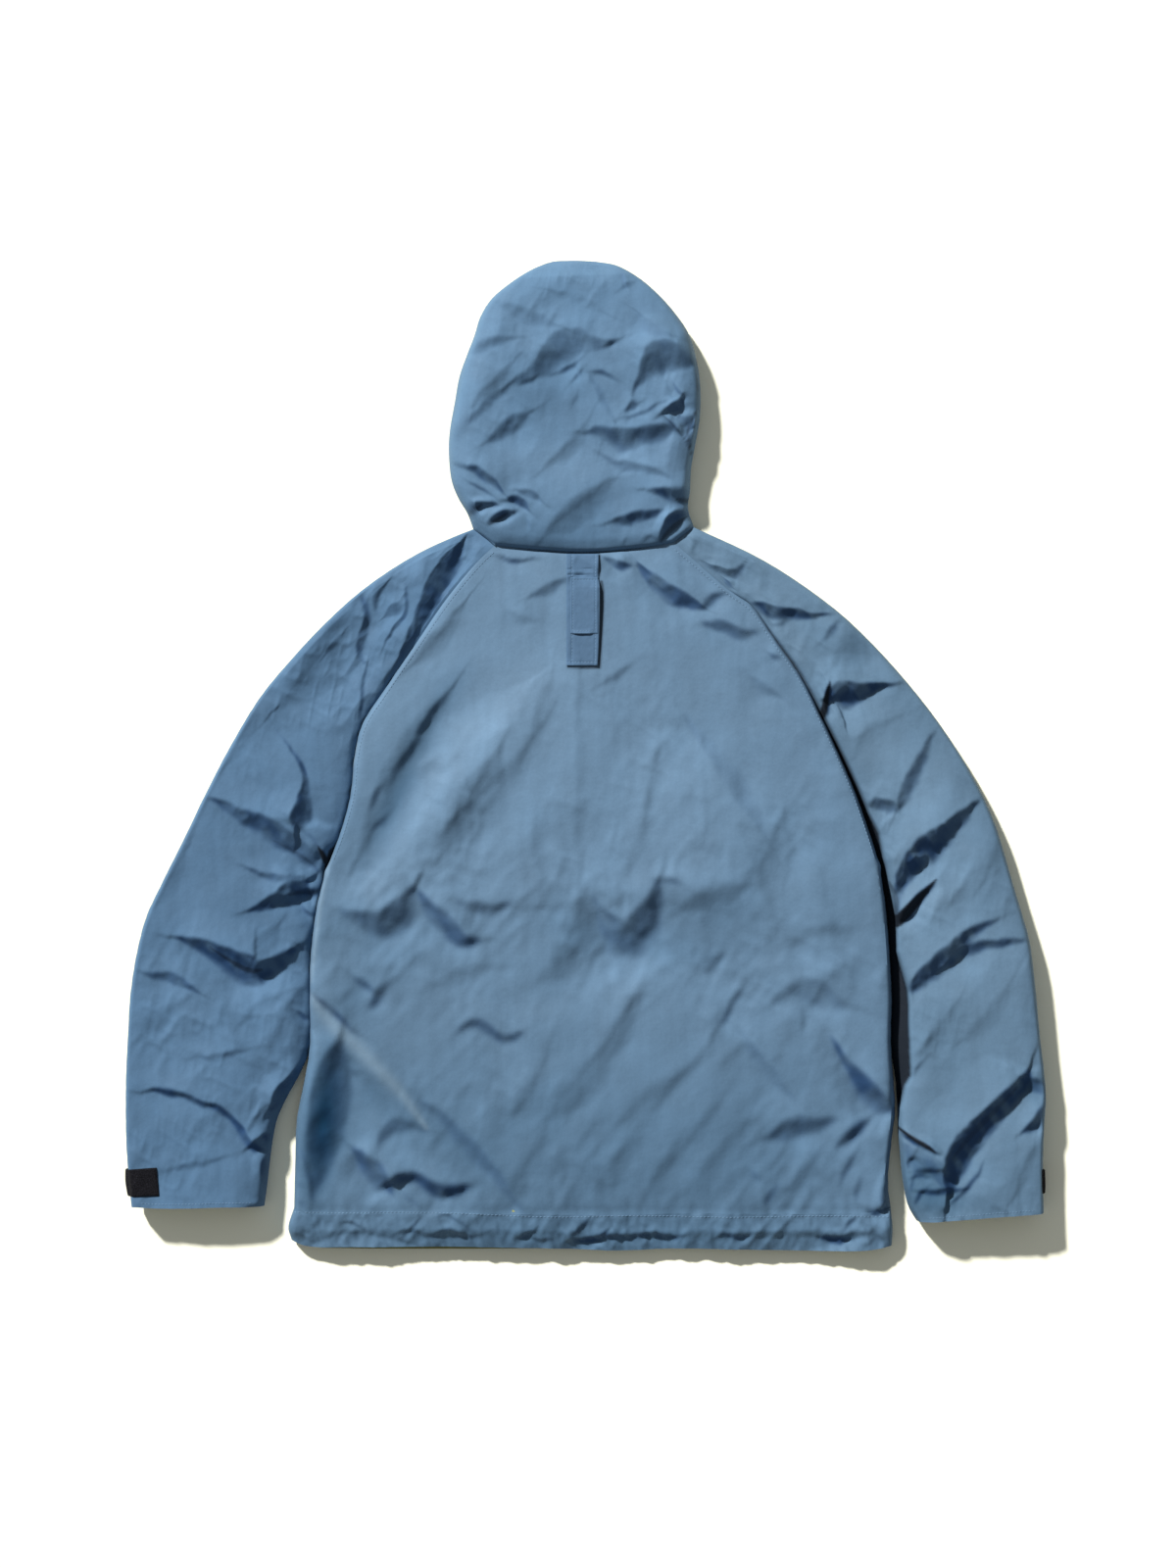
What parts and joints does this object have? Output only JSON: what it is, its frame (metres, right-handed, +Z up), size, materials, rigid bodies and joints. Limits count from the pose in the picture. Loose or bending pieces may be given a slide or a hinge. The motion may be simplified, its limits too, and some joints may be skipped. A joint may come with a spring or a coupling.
{
  "type": "hooded raglan parka laid flat",
  "caption": "Light hooded jacket with raglan sleeves, drawn hem, cuff straps and a neck tab, laid flat face down with its back uppermost.",
  "frame": {"origin": "on the surface the jacket lies on, under the middle of its outline's box", "axes": "+Z up from the surface, +Y from the hem to the hood, -X the wearer's left side, with the back panel uppermost"},
  "size_m": [0.9372, 1.01, 0.04],
  "materials": {
    "shell_cloth": "steel blue plain weave with a faint sheen",
    "zip_tape": "darker blue tape with moulded teeth",
    "zip_metal": "dark blue enamel, satin",
    "hook_and_loop": "matt black hook and loop tape"
  },
  "bodies": {
    "root": {"back_panel": "shell_cloth", "hem_casing_back": "shell_cloth", "hem_casing_front_left": "shell_cloth", "hem_casing_front_right": "shell_cloth", "front_left": "shell_cloth", "front_right": "shell_cloth", "sleeve_left_back": "shell_cloth", "sleeve_left_front": "shell_cloth", "sleeve_right_back": "shell_cloth", "sleeve_right_front": "shell_cloth", "hood_back": "shell_cloth", "hood_side_left": "shell_cloth", "hood_side_right": "shell_cloth", "hood_binding_left": "shell_cloth", "hood_binding_right": "shell_cloth", "neck_tab": "shell_cloth", "tab_patch": "shell_cloth", "front_zip": "zip_tape", "zip_slider": "zip_metal", "cuff_strap_left": "hook_and_loop", "cuff_strap_right": "hook_and_loop"}
  },
  "joints": []
}
